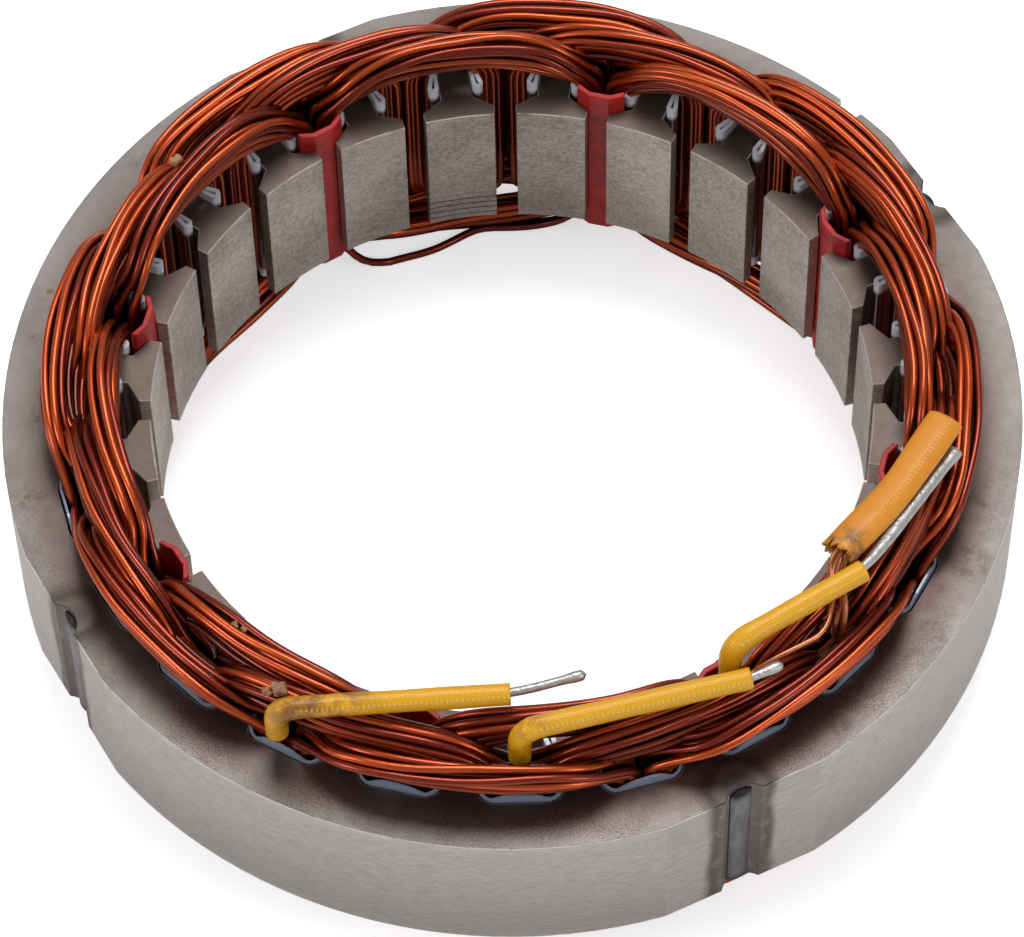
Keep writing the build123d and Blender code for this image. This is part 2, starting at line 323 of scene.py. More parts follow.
# Joints between laminations show as dark lines only at the foot of that tooth.
lamination_wave = steel.node(
    "ShaderNodeTexWave",
    "Fac",
    {"bands_direction": "Z", "wave_profile": "SIN"},
    Vector=steel.place,
    Scale=90.0 * pi,
    Distortion=1.2,
    Detail=1.0,
    Detail_Scale=0.15,
)
joint_line = steel.times(
    steel.ramp(lamination_wave, 0.12, 0.02),
    steel.ramp(from_tooth, 6.2 * MM, 5.0 * MM),
    steel.ramp(height_here, -5.2 * MM, -6.8 * MM),
)
bore_colour = steel.mix(joint_line, bore_colour, (0.02, 0.017, 0.015, 1))
side_colour = steel.mix(steel.ramp(radius_here, 50.0 * MM, 58.0 * MM), bore_colour, rim_colour)

# The faces are grey, warmer near the winding and over the tooth tips, with a fine brown
# speckle of varnish on the near side and a few yellow patches.
face_colour = steel.mix(
    steel.ramp(cloud, 0.35, 0.65), (0.155, 0.136, 0.126, 1), (0.215, 0.193, 0.182, 1)
)
near_winding = steel.ramp(radius_here, 63.4 * MM, 57.5 * MM)
warm_share = steel.times(near_winding, steel.ramp(cloud, 0.2, 0.7))
face_colour = steel.mix(warm_share, face_colour, (0.115, 0.082, 0.068, 1))
over_tips = steel.ramp(radius_here, 53.0 * MM, 50.5 * MM)
tip_share = steel.times(over_tips, steel.ramp(stain_grain, 0.2, 0.6))
face_colour = steel.mix(tip_share, face_colour, (0.120, 0.093, 0.078, 1))
speckle = steel.math("ADD", speck, steel.times(near_winding, 0.16))
brown_share = steel.times(
    steel.ramp(speckle, 0.44, 0.66),
    steel.ramp(steel.part_of(steel.place, 1), 15.0 * MM, -50.0 * MM),
    steel.ramp(stain_cloud, 0.25, 0.6),
)
face_colour = steel.mix(brown_share, face_colour, (0.080, 0.043, 0.041, 1))
yellow_share = steel.ramp(steel.noise(210.0, 4.0, 0.65), 0.64, 0.72)
face_colour = steel.mix(yellow_share, face_colour, (0.12, 0.085, 0.045, 1))

# Dark stains on the lead side's face: degrees, radius and reach in millimetres.
stain_places = (
    (344.6, 59.7, 3.0),
    (335.5, 60.3, 4.5),
    (324.2, 59.8, 5.0),
    (308.6, 61.2, 2.2),
    (180.5, 60.0, 2.4),
    (192.0, 60.4, 2.8),
    (169.5, 60.4, 1.8),
    (140.0, 60.5, 3.0),
    (72.0, 60.5, 2.0),
)
for angle, radius, size in stain_places:
    middle = (radius * MM * cos(radians(angle)), radius * MM * sin(radians(angle)), lead_face)
    fade = steel.ramp(steel.distance(steel.place, middle), size * MM, 0.3 * size * MM)
    stain_share = steel.times(fade, steel.ramp(stain_grain, 0.44, 0.62), 0.75)
    face_colour = steel.mix(stain_share, face_colour, (0.075, 0.06, 0.042, 1))
colour = steel.mix(is_face, side_colour, face_colour)

# The bevelled edges, where the normal is neither level nor upright, are worn bright, with a
# painted highlight in near white.
on_edge = steel.times(steel.ramp(tilt, 0.15, 0.35), steel.ramp(tilt, 0.97, 0.85))
wear_and_highlight = steel.times(on_edge, steel.ramp(stain_grain, 0.30, 0.50), 0.9)
colour = steel.mix(wear_and_highlight, colour, (1.0, 0.94, 0.88, 1))

# Round each weld's groove: a brown smear on the rim, greyer metal in the groove, a scorched
# edge, and rings of heat tint on the face. A ring is full inside its first distance and gone
# past its second; its strength and colour follow.
weld_angles = (29.3, 115.0, 208.9, 295.0)
weld_radius = 61.7 * MM
heat_rings = (
    (3.6 * MM, 6.0 * MM, 0.85, (0.042, 0.030, 0.025, 1)),
    (2.5 * MM, 3.7 * MM, 0.55, (0.130, 0.108, 0.092, 1)),
    (1.5 * MM, 2.4 * MM, 0.5, (0.060, 0.052, 0.048, 1)),
)
on_rim = steel.math("SUBTRACT", 1.0, is_face)
uneven = steel.times(steel.math("SUBTRACT", stain_cloud, 0.5), 6.0 * MM)
for angle in weld_angles:
    groove = (weld_radius * cos(radians(angle)), weld_radius * sin(radians(angle)), 0.0)
    away = steel.math("ADD", steel.distance(flat_place, groove), uneven)
    smear = steel.times(steel.ramp(away, 5.2 * MM, 3.7 * MM), steel.ramp(stain_grain, 0.15, 0.5))
    colour = steel.mix(steel.times(smear, on_rim, 0.9), colour, (0.080, 0.056, 0.043, 1))
    in_groove = steel.times(steel.ramp(away, 3.6 * MM, 2.4 * MM), on_rim, 0.6)
    colour = steel.mix(in_groove, colour, (0.19, 0.175, 0.165, 1))
    scorched = steel.times(steel.ramp(away, 4.4 * MM, 3.6 * MM), on_edge)
    colour = steel.mix(scorched, colour, (0.015, 0.013, 0.014, 1))
    for inner, outer, strength, tint in heat_rings:
        ring_share = steel.times(steel.ramp(away, outer, inner), strength, is_face)
        colour = steel.mix(ring_share, colour, tint)
steel.feed(steel.shader.inputs["Base Color"], colour)
steel.feed(
    steel.shader.inputs["Roughness"],
    steel.node("ShaderNodeMapRange", "Result", Value=grind, To_Min=0.34, To_Max=0.55),
)
relief = steel.math("ADD", steel.times(grind, 0.7), steel.times(speck, 0.3))
steel.bump(relief, 0.2, 0.2 * MM)
core.data.materials.append(steel.material)


# Weld seams: four beads run up the grooves in the rim and hold the laminations together.
# Grey rippled weld metal, nearly black at both ends, where the weld was started and stopped.
bead = Finish("weld_metal", 0.42, 0.9)
ripple = bead.noise(500.0, 3.0, 0.5, bead.scaled(1.6, 1.6, 0.35))
bead_height = bead.math("ABSOLUTE", bead.part_of(bead.place, 2))
molten = bead.ramp(bead_height, 8.6 * MM, 10.4 * MM)
bead_colour = bead.mix(
    bead.ramp(ripple, 0.35, 0.65), (0.125, 0.12, 0.128, 1), (0.215, 0.205, 0.205, 1)
)
bead_colour = bead.mix(molten, bead_colour, (0.018, 0.016, 0.020, 1))
bead.feed(bead.shader.inputs["Base Color"], bead_colour)
bead.bump(ripple, 0.4, 0.3 * MM)
for number in range(1, 5):
    seam = merged_copy(f"weld_seam_{number}", f"weld_bead_{number}", 0.1 * MM)
    seam.data.materials.append(bead.material)


# Windings: each phase is eight coils of enamelled copper wire, wound on side by side so that
# two coils share each slot. The wires spread in the slot and gather into a bundle outside it.
half_stack = lead_face
slot_pitch = radians(15)
coil_pitch = 3 * slot_pitch
coils_per_phase = 8
wire_radius = 0.54 * MM
wire_sides = 7
wire_points = 96
wire_columns = 3
turn_points = 900

# In the slot, columns of wires lie from the rim inwards and rows away from the slot's middle.
# The column nearest the slot's back lies nearer that middle.
column_pitch = 1.95 * MM
farthest_leg = 56.1 * MM
first_row = 0.75 * MM
back_shift = 0.2 * MM

# Outside it they lie about the bundle's own middle, and the bundle twists a little.
lane_pitch = 1.04 * MM
highest_row = 1.45 * MM
row_pitch = 1.0 * MM
bundle_twist = 0.35
curve_power = 3.55

# Past the face a wire stays straight at first, then its angle is freed and it reaches its lane.
straight_length = 0.5 * MM
freeing_length = 3.4 * MM
gathering_length = 6.0 * MM
wave_height = 0.16 * MM

# How much single wires differ by chance.
leg_scatter = 0.2 * MM
row_scatter = 0.08 * MM
lane_scatter = 0.1 * MM
power_scatter = 0.15


def smooth(value):
    """Smoothstep: 3x^2 - 2x^3 with x held between 0 and 1."""
    x = np.clip(value, 0, 1)
    return x * x * (3 - 2 * x)


def grid_mesh(name, points):
    """A mesh of quads over (strips, rings, sides, 3) points, closed both ways round."""
    strips, rings, sides = points.shape[:3]
    ring = np.arange(rings)
    side = np.arange(sides)
    strip = np.arange(strips)[:, None, None] * rings * sides
    a = strip + ring[None, :, None] * sides + side[None, None, :]
    b = strip + ring[None, :, None] * sides + np.roll(side, -1)[None, None, :]
    c = strip + np.roll(ring, -1)[None, :, None] * sides + np.roll(side, -1)[None, None, :]
    d = strip + np.roll(ring, -1)[None, :, None] * sides + side[None, None, :]
    corners = np.stack([a, b, c, d], axis=-1).reshape(-1, 4)
    mesh = bpy.data.meshes.new(name)
    mesh.vertices.add(points.size // 3)
    mesh.vertices.foreach_set("co", points.reshape(-1).astype(np.float32))
    mesh.loops.add(corners.size)
    mesh.loops.foreach_set("vertex_index", corners.reshape(-1).astype(np.int32))
    mesh.polygons.add(len(corners))
    mesh.polygons.foreach_set("loop_start", (np.arange(len(corners)) * 4).astype(np.int32))
    mesh.update(calc_edges=True)
    mesh.polygons.foreach_set("use_smooth", np.ones(len(corners), bool))
    mesh.validate()
    return mesh


def point_values(mesh, name, values):
    """A number at each point of a mesh, for its finish to read."""
    layer = mesh.attributes.new(name, "FLOAT", "POINT")
    layer.data.foreach_set("value", values.reshape(-1).astype(np.float32))


def tubes(paths, radius, sides):
    """Round tubes about closed paths (strips, rings, 3).

    The tangent is the central difference of the path; the first normal is the way out from the
    bore less its part along the tangent, and the second is square to both.
    """
    tangent = np.roll(paths, -1, axis=1) - np.roll(paths, 1, axis=1)
    tangent /= np.linalg.norm(tangent, axis=2, keepdims=True)
    outward = paths * np.array([1, 1, 0])
    outward -= tangent * np.sum(outward * tangent, axis=2, keepdims=True)
    outward /= np.linalg.norm(outward, axis=2, keepdims=True)
    across = np.cross(tangent, outward)
    turn = (np.arange(sides) * 2 * pi / sides)[:, None]
    ring = np.cos(turn) * outward[:, :, None, :] + np.sin(turn) * across[:, :, None, :]
    return paths[:, :, None, :] + radius * ring


def lengths_along(path):
    """The distance along a path at each of its points."""
    return np.concatenate([[0], np.cumsum(np.linalg.norm(np.diff(path, axis=0), axis=1))])


def points_at(path, wanted):
    """The points at the wanted distances along a path."""
    length = lengths_along(path)
    return np.stack([np.interp(wanted, length, path[:, k]) for k in range(3)], axis=1)


def coil_turn(rng, centre, leg, lane, rise, column, row, slot_step, late, pushed, stray):
    """One turn of a coil as a superellipse bent round the bore.

    The angle from the coil's middle is a|cos t|^(2/n) and the height is b|sin t|^(2/n), each
    with its sign. The radius goes from the slot's to the lane's over the first few millimetres
    outside the slot, or later along the span by the share late. The liner holds each wire
    straight, and its angle is freed over the first few millimetres past the slot. The bundle is
    pushed out towards the front. Slow waves make each wire stray from its neighbours, and a
    stray turn sags inwards beside its slot on the far side. No turn goes below the table.
    """
    t = np.linspace(0, 2 * pi, turn_points, endpoint=False)
    leg_radius = min(leg + column_pitch * column + rng.normal(0, leg_scatter), farthest_leg)
    first_offset = first_row - back_shift * (column > 0)
    leg_offset = first_offset + slot_step * row + rng.normal(0, row_scatter)
    half_angle = coil_pitch / 2 - leg_offset / leg_radius
    power = curve_power + rng.normal(0, power_scatter)
    angle = half_angle * np.sign(np.cos(t)) * np.abs(np.cos(t)) ** (2 / power)
    share = np.sign(np.sin(t)) * np.abs(np.sin(t)) ** (2 / power)
    stagger = 0.5 * (column % 2)
    up = highest_row - row_pitch * (row + stagger) + rng.normal(0, lane_scatter)
    out = lane_pitch * column + rng.normal(0, lane_scatter)
    twist = bundle_twist * np.sin(angle / half_angle * pi / 2) * np.sign(share)
    height = half_stack + rise + up * np.cos(twist) + out * np.sin(twist)
    z = height * share
    past_face = np.abs(z) - half_stack - straight_length
    freed = smooth(past_face / freeing_length)
    outside = smooth(past_face / gathering_length)
    angle = np.sign(angle) * (half_angle - (half_angle - np.abs(angle)) * freed)
    lane_radius = lane + out * np.cos(twist) - up * np.sin(twist)
    gathered = outside * (1 - late * np.abs(angle / half_angle) ** 6)
    radius = leg_radius + (lane_radius - leg_radius) * gathered
    for harmonic in (1, 2, 3):
        phase_out, phase_up = rng.uniform(0, 2 * pi, 2)
        drift = outside * wave_height / harmonic
        radius = radius + drift * np.sin(harmonic * angle / half_angle * pi + phase_out)
        z = z + drift * np.sign(z) * np.sin(harmonic * angle / half_angle * pi + phase_up)
    sag = stray * np.exp(-(((angle / half_angle - 0.5) / 0.5) ** 4)) * (z < 0) * outside
    where = centre + angle
    radius = radius - sag + pushed * outside * np.clip(-np.sin(where), 0, 1) ** 2
    z = np.maximum(z - 0.5 * sag, floor_level + wire_radius)
    return np.stack([radius * np.cos(where), radius * np.sin(where), z], axis=1)


enamel = Finish("wire_enamel", 0.31, 0.85)
tone = enamel.node("ShaderNodeAttribute", "Fac", {"attribute_name": "tone"})
patch = enamel.noise(120.0, 3.0, 0.6)
shade = enamel.math("ADD", enamel.times(tone, 0.65), enamel.times(patch, 0.35))
lit_enamel = enamel.mix(
    enamel.ramp(shade, 0.2, 0.8), (0.20, 0.018, 0.005, 1), (0.52, 0.074, 0.012, 1)
)
# Painted shade: wire skin that faces into its bundle is painted near black, as between wires.
unshaded_share = enamel.node("ShaderNodeAttribute", "Fac", {"attribute_name": "unshaded"})
enamel_colour = enamel.mix(unshaded_share, (0.075, 0.012, 0.005, 1), lit_enamel)
enamel.feed(enamel.shader.inputs["Base Color"], enamel_colour)
enamel.shader.inputs["Coat Weight"].default_value = 0.35
enamel.shader.inputs["Coat Roughness"].default_value = 0.12
enamel.bump(enamel.noise(900.0, 2.0, 0.5), 0.12, 0.2 * MM)

# Each phase, from the rim inwards: degrees of its first slot, radius in the slots, radius
# outside them, height over the stack, rows of wires, how late it leaves the slot's radius, and
# how far it is pushed out at the front.
phase_lays = (
    (15, 54.0 * MM, 56.7 * MM, 6.0 * MM, 5, 0.7, 0.75 * MM),
    (0, 53.5 * MM, 53.6 * MM, 6.7 * MM, 4, 0.0, 0.0),
    (30, 51.6 * MM, 50.3 * MM, 7.4 * MM, 4, 0.0, 0.0),
)
rows_width = 2.58 * MM

# The stray turn, by phase, coil, column and row, and how far it sags.
stray_turn = (3, 1, 0, 0)
stray_sag = 2.6 * MM

# How far from its bundle's middle a wire faces fully out of the painted shade, and how soon a
# stray one is clear of it.
unshaded_depth = 1.2 * MM
stray_fade = 0.4 * MM
for phase, (first_slot, leg, lane, rise, rows, late, pushed) in enumerate(phase_lays, 1):
    rng = np.random.default_rng(10 + phase)
    slot_step = rows_width / (rows - 1)
    turns = []
    for coil in range(coils_per_phase):
        middle = radians(first_slot) + coil_pitch * (coil + 0.5)
        for column in range(wire_columns):
            for row in range(rows):
                stray = stray_sag if (phase, coil, column, row) == stray_turn else 0.0
                path = coil_turn(
                    rng, middle, leg, lane, rise, column - 1, row, slot_step, late, pushed, stray
                )
                closed = np.vstack([path, path[:1]])
                wanted = np.arange(wire_points) / wire_points * lengths_along(closed)[-1]
                turns.append(points_at(closed, wanted))
    paths = np.array(turns)
    skin = tubes(paths, wire_radius, wire_sides)
    mesh = grid_mesh(f"phase_{phase}_wires", skin)
    point_values(mesh, "tone", np.repeat(rng.uniform(0, 1, len(turns)), wire_points * wire_sides))
    # Skin is clear of the painted shade where it faces away from its bundle's middle, and all
    # round a wire that strays out of the bundle. Elsewhere the finish is painted near black, a
    # painted shade as between wires.
    bundles = paths.reshape(coils_per_phase, -1, wire_points, 3)
    away = (bundles - bundles.mean(axis=1, keepdims=True)).reshape(paths.shape)
    facing_out = np.sum((skin - paths[:, :, None]) * away[:, :, None], axis=3)
    facing_out /= wire_radius * unshaded_depth
    bundle_radius = (0.3 + 0.5 * rows) * MM
    from_middle = np.linalg.norm(away, axis=2, keepdims=True)
    strays = smooth((from_middle - bundle_radius) / stray_fade)
    point_values(mesh, "unshaded", np.maximum(smooth((facing_out + 0.3) / 0.9), strays))
    mesh.materials.append(enamel.material)
    add_piece(mesh, f"phase_{phase}_wires", [f"phase_{phase}_winding"])


# Slot liners: 24 strips of milky polyester film, folded into channels. Their long edges are
# curled back beside the tooth tips, and both ends stand proud of the stack. Inside the stack
# the film is soaked with dark varnish, and its back is bluer where it lies in shade.
liner_thickness = 0.3 * MM
liner_proud = 1.3 * MM
liner_neck = 48.8 * MM
liner_back = 56.95 * MM
wall_slope = slot_pitch / 2
half_tooth = 2.45 * MM
curl_width = 0.9 * MM
curl_length = 2.8 * MM
back_corner = 2.0 * MM
crease_share = 0.8
cut_ripple = 0.12 * MM
corner_dip = 1.1 * MM


def slot_wall(radius):
    """The liner's half width between parallel-sided teeth: r tan(w) less half a tooth."""
    return radius * tan(wall_slope) - half_tooth / cos(wall_slope)


def liner_course():
    """Half of the film's course, from the curl's tip to the middle of the slot's back.

    The curl is a half circle between two straight runs that close to a point, laid against the
    sloping wall; the wall runs into the back round a quarter of a circle.
    """
    curl_radius = curl_width / 2
    turn = np.linspace(pi / 2, 3 * pi / 2, 11)
    curl_out = curl_radius + curl_radius * np.cos(turn)
    curl_up = curl_radius + curl_radius * np.sin(turn)
    tip = np.array([[curl_length, liner_thickness * 0.9]])
    local = np.vstack([tip, np.stack([curl_out, curl_up], axis=1)])
    slope = np.array([[cos(wall_slope), sin(wall_slope)], [sin(wall_slope), -cos(wall_slope)]])
    start = np.array([liner_neck, slot_wall(liner_neck)])
    curl = start + local @ slope
    corner_turn = np.linspace(pi / 2 + wall_slope, 0, 7)
    corner_centre = np.array([liner_back - back_corner, slot_wall(liner_back) - back_corner])
    round_corner = np.stack([np.cos(corner_turn), np.sin(corner_turn)], axis=1)
    corner = corner_centre + back_corner * round_corner
    back = np.linspace(corner[-1], [liner_back, 0], 6)[1:]
    return np.vstack([curl, corner, back])


def capped_mesh(name, rings):
    """A mesh over (rings, sides, 3) points, closed round each ring and capped at both ends."""
    count, sides = rings.shape[:2]
    side = np.arange(sides)
    follow = np.roll(side, -1)
    step = np.arange(count - 1)[:, None] * sides
    quads = [step + side, step + follow, step + sides + follow, step + sides + side]
    faces = np.stack(quads, axis=-1).reshape(-1, 4).tolist()
    faces.append(side[::-1].tolist())
    faces.append((side + (count - 1) * sides).tolist())
    mesh = bpy.data.meshes.new(name)
    mesh.from_pydata(rings.reshape(-1, 3).tolist(), [], faces)
    return mesh


def film_mesh(name, course, angle, rng):
    """A ribbon of film with square edges, its ends cut a little uneven.

    The film looks thicker towards the curls, where it is creased, and its cut ends dip at the
    two corners of the slot's back.
    """
    whole = np.vstack([course, course[-2::-1] * np.array([1, -1])])
    creased = smooth((53.0 * MM - whole[:, :1]) / (2.0 * MM))
    thickness = liner_thickness * (1 + crease_share * creased)
    along = np.gradient(whole, axis=0)
    along /= np.linalg.norm(along, axis=1, keepdims=True)
    across = np.stack([along[:, 1], -along[:, 0]], axis=1) * thickness / 2
    cut_wave = cut_ripple * np.sin(whole[:, 1] / MM * 0.9 + rng.uniform(0, 6))
    from_corner = np.abs(whole[:, 1]) - slot_wall(liner_back) + 1.2 * MM
    at_corner = np.exp(-((from_corner / (1.4 * MM)) ** 2))
    at_back = smooth((whole[:, 0] - 54.0 * MM) / (1.0 * MM))
    top = half_stack + liner_proud + cut_wave - corner_dip * at_corner * at_back
    rows = []
    for side, level in ((1, top), (-1, top), (-1, -top), (1, -top)):
        flat = whole + side * across
        turned_x = flat[:, 0] * cos(angle) - flat[:, 1] * sin(angle)
        turned_y = flat[:, 0] * sin(angle) + flat[:, 1] * cos(angle)
        rows.append(np.stack([turned_x, turned_y, level], axis=1))
    return capped_mesh(name, np.stack(rows, axis=1))


film = Finish("polyester_film", 0.22, 0.0)
film_height = film.math("ABSOLUTE", film.part_of(film.place, 2))
film_radius = film.distance(film.scaled(1.0, 1.0, 0.0), (0.0, 0.0, 0.0))
milky = film.mix(film.noise(300.0, 2.0, 0.5), (0.56, 0.61, 0.72, 1), (0.86, 0.88, 0.94, 1))
milky = film.mix(film.ramp(film_radius, 54.0 * MM, 55.5 * MM), milky, (0.27, 0.33, 0.44, 1))
soaked = film.ramp(film_height, half_stack + 0.3 * MM, half_stack - 0.9 * MM)
film_colour = film.mix(soaked, milky, (0.09, 0.025, 0.018, 1))
film.feed(film.shader.inputs["Base Color"], film_colour)
film.shader.inputs["Subsurface Weight"].default_value = 0.3
film.shader.inputs["Subsurface Scale"].default_value = 1.0 * MM
film.shader.inputs["Coat Weight"].default_value = 0.5
film_rng = np.random.default_rng(5)
for number in range(1, 25):
    name = f"liner_{number:02d}"
    mesh = film_mesh(name, liner_course(), (number - 1) * slot_pitch, film_rng)
    mesh.materials.append(film.material)
    piece = add_piece(mesh, name, [f"slot_liner_{number:02d}"])
    edit_whole(piece)
    bpy.ops.mesh.normals_make_consistent(inside=False)
    bpy.ops.object.mode_set(mode="OBJECT")
    bpy.ops.object.shade_auto_smooth(angle=radians(40))


# Wedges: eight strips of red vulcanised fibre, creased along the tooth shoulders and pushed in
# from one end to close the slots that were wound last. Slightly glossy, with worn edges.
fibre = Finish("red_fibre", 0.42, 0.0)
fibre.shader.inputs["Specular IOR Level"].default_value = 0.3
blotches = fibre.ramp(fibre.noise(260.0, 4.0, 0.6), 0.3, 0.7)
fibre_colour = fibre.mix(blotches, (0.26, 0.009, 0.009, 1), (0.52, 0.020, 0.018, 1))
fibre.feed(fibre.shader.inputs["Base Color"], fibre_colour)
fibre.bump(fibre.noise(1500.0, 3.0, 0.6), 0.25, 0.2 * MM)
for number in range(1, 9):
    wedge = merged_copy(f"slot_wedge_{number}", f"fibre_wedge_{number}", 0.15 * MM)
    wedge.data.materials.append(fibre.material)


# Leads: three winding ends in golden varnished braid, bent over and laid along the coil ends.
# The varnish set stiff, so each keeps its bend; it is darker where heat and handling stained it.
coil_end_top = 9.3
inner_lane = 50.17
lead_bend = 4.0 * MM
sleeve_radius = 1.35 * MM
sleeve_bore = 0.85 * MM
sleeve_points = 90
sleeve_sides = 48
lead_wire_radius = 0.55 * MM
lead_wire_points = 110
lead_wire_sides = 14
foot_depth = 1.7 * MM

# The weave's length along a sleeve and round it, in the UV map's millimetres; the half width in
# radians of the row of threads that stands up and carries a painted highlight, and the side it is
# on.
weave_length = 0.55
weave_width = 0.6
highlight_width = 0.15
highlight_side = (0.1, -0.78, 0.62)

# Each lead, in degrees and millimetres: its slot, its radius there, the heights of the sleeve's
# root over the stack and of its bend over the coil ends, and where sleeve and wire end.
lead_rows = (
    (240, 57.24, 4.8, 0.8, (268.9, -1.4, 1.6), (279.8, -3.0, 2.0)),
    (270, 53.74, 4.8, 1.6, (300.0, 4.5, 1.6), (304.5, 5.0, 1.6)),
    (300, 50.24, 4.8, 2.9, (320.6, 3.2, 3.3), (344.6, 5.7, 0.4)),
)

# The stain on each sleeve: how far along it, as a share, and its reach.
sleeve_stains = ((0.30, 9.0 * MM), (0.14, 5.5 * MM), (0.0, 1.0 * MM))


def over_coils(angle, outwards, height):
    """A point from degrees, a distance out from the inner coil ends and a height over them."""
    radius = inner_lane + outwards
    z = half_stack / MM + coil_end_top + height
    return np.array([radius * cos(radians(angle)), radius * sin(radians(angle)), z]) * MM


def smooth_run(points, count):
    """Evenly spaced points along a polyline whose inner corners are rounded.

    Each corner becomes a quadratic curve from lead_bend before it to lead_bend after it.
    """
    run = [points[0]]
    for before, corner, after in zip(points, points[1:], points[2:]):
        back = np.linalg.norm(before - corner)
        ahead = np.linalg.norm(after - corner)
        reach = min(lead_bend, back * 0.48, ahead * 0.48)
        start = corner + (before - corner) / back * reach
        end = corner + (after - corner) / ahead * reach
        for t in np.linspace(0, 1, 9):
            run.append((1 - t) ** 2 * start + 2 * t * (1 - t) * corner + t**2 * end)
    run.append(points[-1])
    run = np.array(run)
    return points_at(run, np.linspace(0, lengths_along(run)[-1], count))


def carried_frames(path):
    """Tangents and a pair of normals carried along an open path without twisting."""
    tangent = np.gradient(path, axis=0)
    tangent /= np.linalg.norm(tangent, axis=1, keepdims=True)
    side = np.cross(tangent[0], [0.3, 0.2, 1.0])
    sides = []
    for step in tangent:
        side = side - step * side.dot(step)
        side = side / np.linalg.norm(side)
        sides.append(side)
    sides = np.array(sides)
    return tangent, sides, np.cross(tangent, sides)


def sleeve_mesh(name, path, radii, wall, sides, highlight_way, flat=1.0, level=None, fray=0.0):
    """A hollow sleeve: outer rings out along the path, inner rings back, and closed ends.

    Flat below 1 squeezes it across the level direction, and fray pulls threads of the first ring
    The UV map holds the length along the sleeve and the way round it, both in millimetres; the
    ridge attribute, which places a painted highlight, peaks on the side that faces the way given
    for the highlight.
    """
    tangent, first, second = carried_frames(path)
    if level is not None:
        first = np.cross(tangent, level)
        first /= np.linalg.norm(first, axis=1, keepdims=True)
        second = np.cross(tangent, first)
    turn = np.arange(sides) * 2 * pi / sides
    wide_way = np.cos(turn)[:, None] * first[:, None, :]
    ring = wide_way + flat * np.sin(turn)[:, None] * second[:, None, :]
    outer = path[:, None, :] + radii[:, None, None] * ring
    inner = path[:, None, :] + (radii - wall)[:, None, None] * ring
    pulled = fray * np.random.default_rng(8).uniform(-1, 0.4, sides)[:, None] * tangent[0]
    outer[0] += pulled
    inner[0] += pulled
    rings = np.concatenate([outer, inner[::-1]])
    mesh = grid_mesh(name, rings[None])
    way = np.array(highlight_way) / np.linalg.norm(highlight_way)
    toward = np.clip((ring / np.linalg.norm(ring, axis=2, keepdims=True)) @ way, -1, 1)
    ridge_highlight = np.exp(-((np.arccos(toward) / highlight_width) ** 2))
    point_values(mesh, "ridge_highlight", np.concatenate([ridge_highlight, 0 * ridge_highlight]))
    length = lengths_along(path) / MM
    lengths = np.concatenate([length, length[::-1]])
    around = turn * radii.mean() / MM
    along = np.repeat(lengths, sides)
    about = np.tile(around, len(lengths))
    index = np.empty(len(mesh.loops), np.int32)
    mesh.loops.foreach_get("vertex_index", index)
    pairs = np.stack([along[index], about[index]], axis=1)
    face_about = pairs[:, 1].reshape(-1, 4)
    wraps = (face_about.max(axis=1) - face_about.min(axis=1)) > around[-1] / 2
    lift = wraps[:, None] & (face_about < around[-1] / 2)
    pairs[:, 1] = (face_about + lift * (2 * pi * radii.mean() / MM)).reshape(-1)
    layer = mesh.uv_layers.new(name="UVMap")
    layer.data.foreach_set("uv", pairs.reshape(-1).astype(np.float32))
    return mesh


def braid_finish(name, light, dark, stain, stain_place, stain_reach):
    """Varnished glass braid: diamond weave in relief, with painted shade in its hollows, and
    darker at a stain.

    One row of threads stands up along the side marked by the ridge attribute, and carries a
    painted highlight.
    """
    finish = Finish(name, 0.32, 0.0)
    uv = finish.node("ShaderNodeTexCoord", "UV")
    along = finish.times(finish.part_of(uv, 0), 2 * pi / weave_length)
    around = finish.times(finish.part_of(uv, 1), 2 * pi / weave_width)
    plus = finish.math("SINE", finish.math("ADD", along, around))
    minus = finish.math("SINE", finish.math("SUBTRACT", along, around))
    weave = finish.math("ADD", finish.times(plus, minus, 0.5), 0.5)
    # Painted shade: the weave's hollows take the darker colour.
    colour = finish.mix(finish.ramp(weave, 0.0, 0.6), dark, light)
    blotch = finish.ramp(finish.noise(260.0, 4.0, 0.6), 0.36, 0.62)
    from_stain = finish.distance(finish.place, stain_place)
    near = finish.ramp(from_stain, stain_reach, 0.3 * stain_reach)
    colour = finish.mix(finish.times(near, blotch), colour, stain)
    finish.shader.inputs["Coat Weight"].default_value = 0.25
    finish.shader.inputs["Coat Roughness"].default_value = 0.15
    finish.shader.inputs["Specular IOR Level"].default_value = 0.35
    # Painted highlight: bright glints along the raised row of threads, on the side marked by the
    # ridge attribute.
    ridge_highlight = finish.node("ShaderNodeAttribute", "Fac", {"attribute_name": "ridge_highlight"})
    thread = finish.ramp(finish.math("SINE", finish.times(along, 0.9)), -0.2, 0.9)
    raised_highlight = finish.times(ridge_highlight, thread)
    colour = finish.mix(finish.times(raised_highlight, 0.7), colour, (0.95, 0.66, 0.25, 1))
    finish.feed(finish.shader.inputs["Base Color"], colour)
    finish.bump(finish.math("ADD", finish.times(weave, 0.3), raised_highlight), 0.5, 0.3 * MM)
    return finish


tinned = Finish("tinned_end", 0.42, 0.9)
tin_colour = tinned.mix(
    tinned.noise(700.0, 2.0, 0.5), (0.38, 0.375, 0.37, 1), (0.62, 0.61, 0.60, 1)
)
tin_here = tinned.node("ShaderNodeAttribute", "Fac", {"attribute_name": "tin"})
lead_colour = tinned.mix(tin_here, (0.40, 0.06, 0.012, 1), tin_colour)
tinned.feed(tinned.shader.inputs["Base Color"], lead_colour)
tinned.bump(tinned.noise(900.0, 3.0, 0.6), 0.6, 0.3 * MM)


